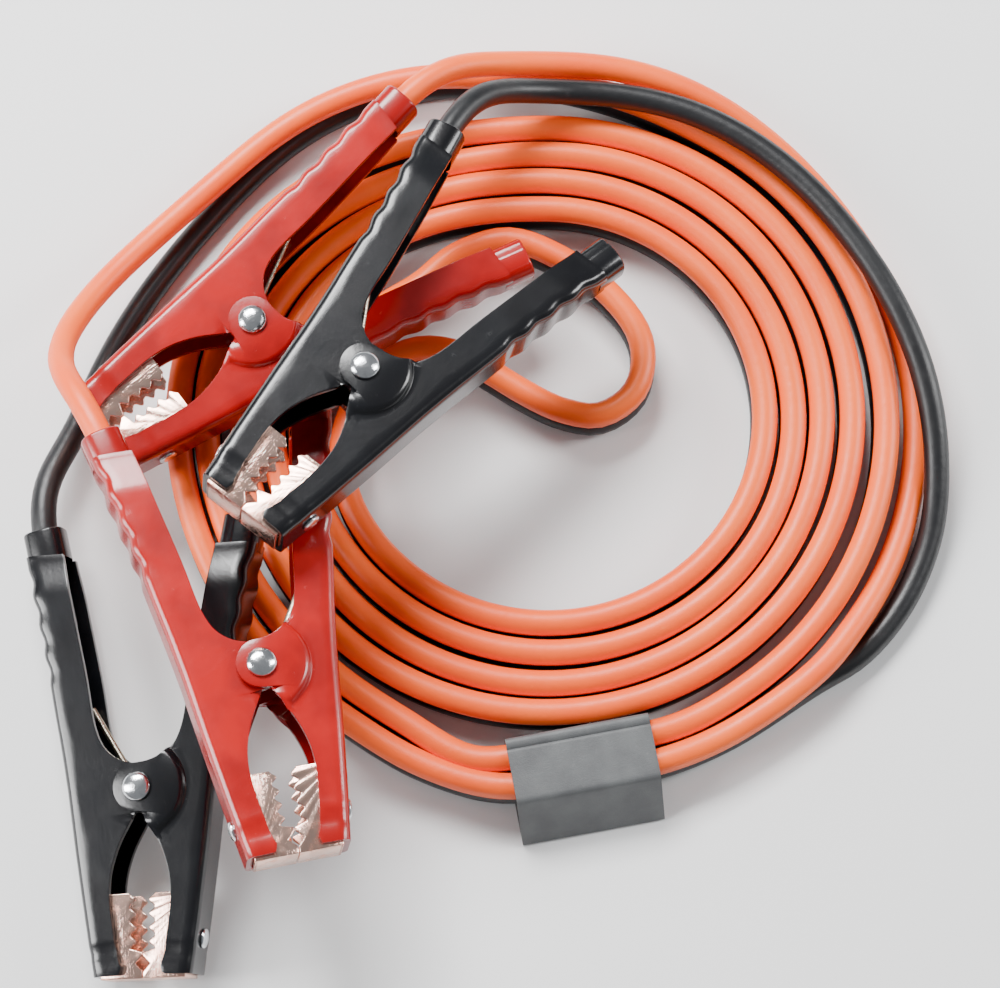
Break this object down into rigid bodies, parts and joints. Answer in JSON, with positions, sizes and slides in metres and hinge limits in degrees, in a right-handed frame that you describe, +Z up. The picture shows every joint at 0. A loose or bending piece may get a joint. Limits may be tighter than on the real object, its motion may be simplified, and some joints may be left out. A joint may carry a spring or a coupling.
{
  "type": "jumper cable set",
  "caption": "Coiled twin jumper cable with a spring clamp at each cable end and a plastic band round the outer turns.",
  "frame": {"origin": "middle of the footprint of the clamps and the band, on the surface that the set lies on", "axes": "+Z up from the surface; +Y away from the viewer as pictured; +X to the right"},
  "size_m": [0.3327, 0.341, 0.0863],
  "materials": {
    "red_vinyl": "glossy dipped coating",
    "black_vinyl": "glossy dipped coating",
    "orange_cable": "smooth satin",
    "black_cable": "smooth satin",
    "bright_steel": "bright plated",
    "spring_steel": "plain wire",
    "copper": "bright copper plate",
    "band_plastic": "matte"
  },
  "bodies": {
    "laid_set": {"red_a_cable_half": "red_vinyl", "red_a_pivot_rivet": "bright_steel", "red_a_spring": "spring_steel", "red_a_cable_jaw": "copper", "red_a_cable_jaw_rivet": "bright_steel", "black_a_cable_half": "black_vinyl", "black_a_pivot_rivet": "bright_steel", "black_a_spring": "spring_steel", "black_a_cable_jaw": "copper", "black_a_cable_jaw_rivet": "bright_steel", "red_b_cable_half": "red_vinyl", "red_b_pivot_rivet": "bright_steel", "red_b_spring": "spring_steel", "red_b_cable_jaw": "copper", "red_b_cable_jaw_rivet": "bright_steel", "black_b_cable_half": "black_vinyl", "black_b_pivot_rivet": "bright_steel", "black_b_spring": "spring_steel", "black_b_cable_jaw": "copper", "black_b_cable_jaw_rivet": "bright_steel", "orange_lead_a": "orange_cable", "black_lead_a": "black_cable", "orange_lead_b": "orange_cable", "black_lead_b": "black_cable", "orange_bight": "orange_cable", "black_bight": "black_cable", "coil": "orange_cable", "clip": "band_plastic"},
    "red_a_jaw_body": {"red_a_sprung_half": "red_vinyl", "red_a_sprung_jaw": "copper", "red_a_sprung_jaw_rivet": "bright_steel"},
    "black_a_jaw_body": {"black_a_sprung_half": "black_vinyl", "black_a_sprung_jaw": "copper", "black_a_sprung_jaw_rivet": "bright_steel"},
    "red_b_jaw_body": {"red_b_sprung_half": "red_vinyl", "red_b_sprung_jaw": "copper", "red_b_sprung_jaw_rivet": "bright_steel"},
    "black_b_jaw_body": {"black_b_sprung_half": "black_vinyl", "black_b_sprung_jaw": "copper", "black_b_sprung_jaw_rivet": "bright_steel"}
  },
  "joints": [
    {"name": "red_a_squeeze", "type": "hinge", "parent": "laid_set", "child": "red_a_jaw_body", "pos_m": [-0.03217, 0.06955, 0.0336], "axis": [0.0168, -0.0572, 0.9982], "range_deg": [0, 20], "stiffness_Nm_per_rad": 0.8, "springref_deg": -17.19, "deforming": ["red_a_spring"]},
    {"name": "black_a_squeeze", "type": "hinge", "parent": "laid_set", "child": "black_a_jaw_body", "pos_m": [0.00813, 0.04015, 0.0669], "axis": [0.1054, 0.094, 0.99], "range_deg": [0, 20], "stiffness_Nm_per_rad": 0.8, "springref_deg": -17.19, "deforming": ["black_a_spring"]},
    {"name": "red_b_squeeze", "type": "hinge", "parent": "laid_set", "child": "red_b_jaw_body", "pos_m": [-0.02577, -0.06115, 0.059], "axis": [0.1252, 0.0924, 0.9878], "range_deg": [0, 20], "stiffness_Nm_per_rad": 0.8, "springref_deg": -17.19, "deforming": ["red_b_spring"]},
    {"name": "black_b_squeeze", "type": "hinge", "parent": "laid_set", "child": "black_b_jaw_body", "pos_m": [-0.06697, -0.09455, 0.02], "axis": [-0.1957, -0.0612, 0.9787], "range_deg": [0, 20], "stiffness_Nm_per_rad": 0.8, "springref_deg": -17.19, "deforming": ["black_b_spring"]}
  ]
}
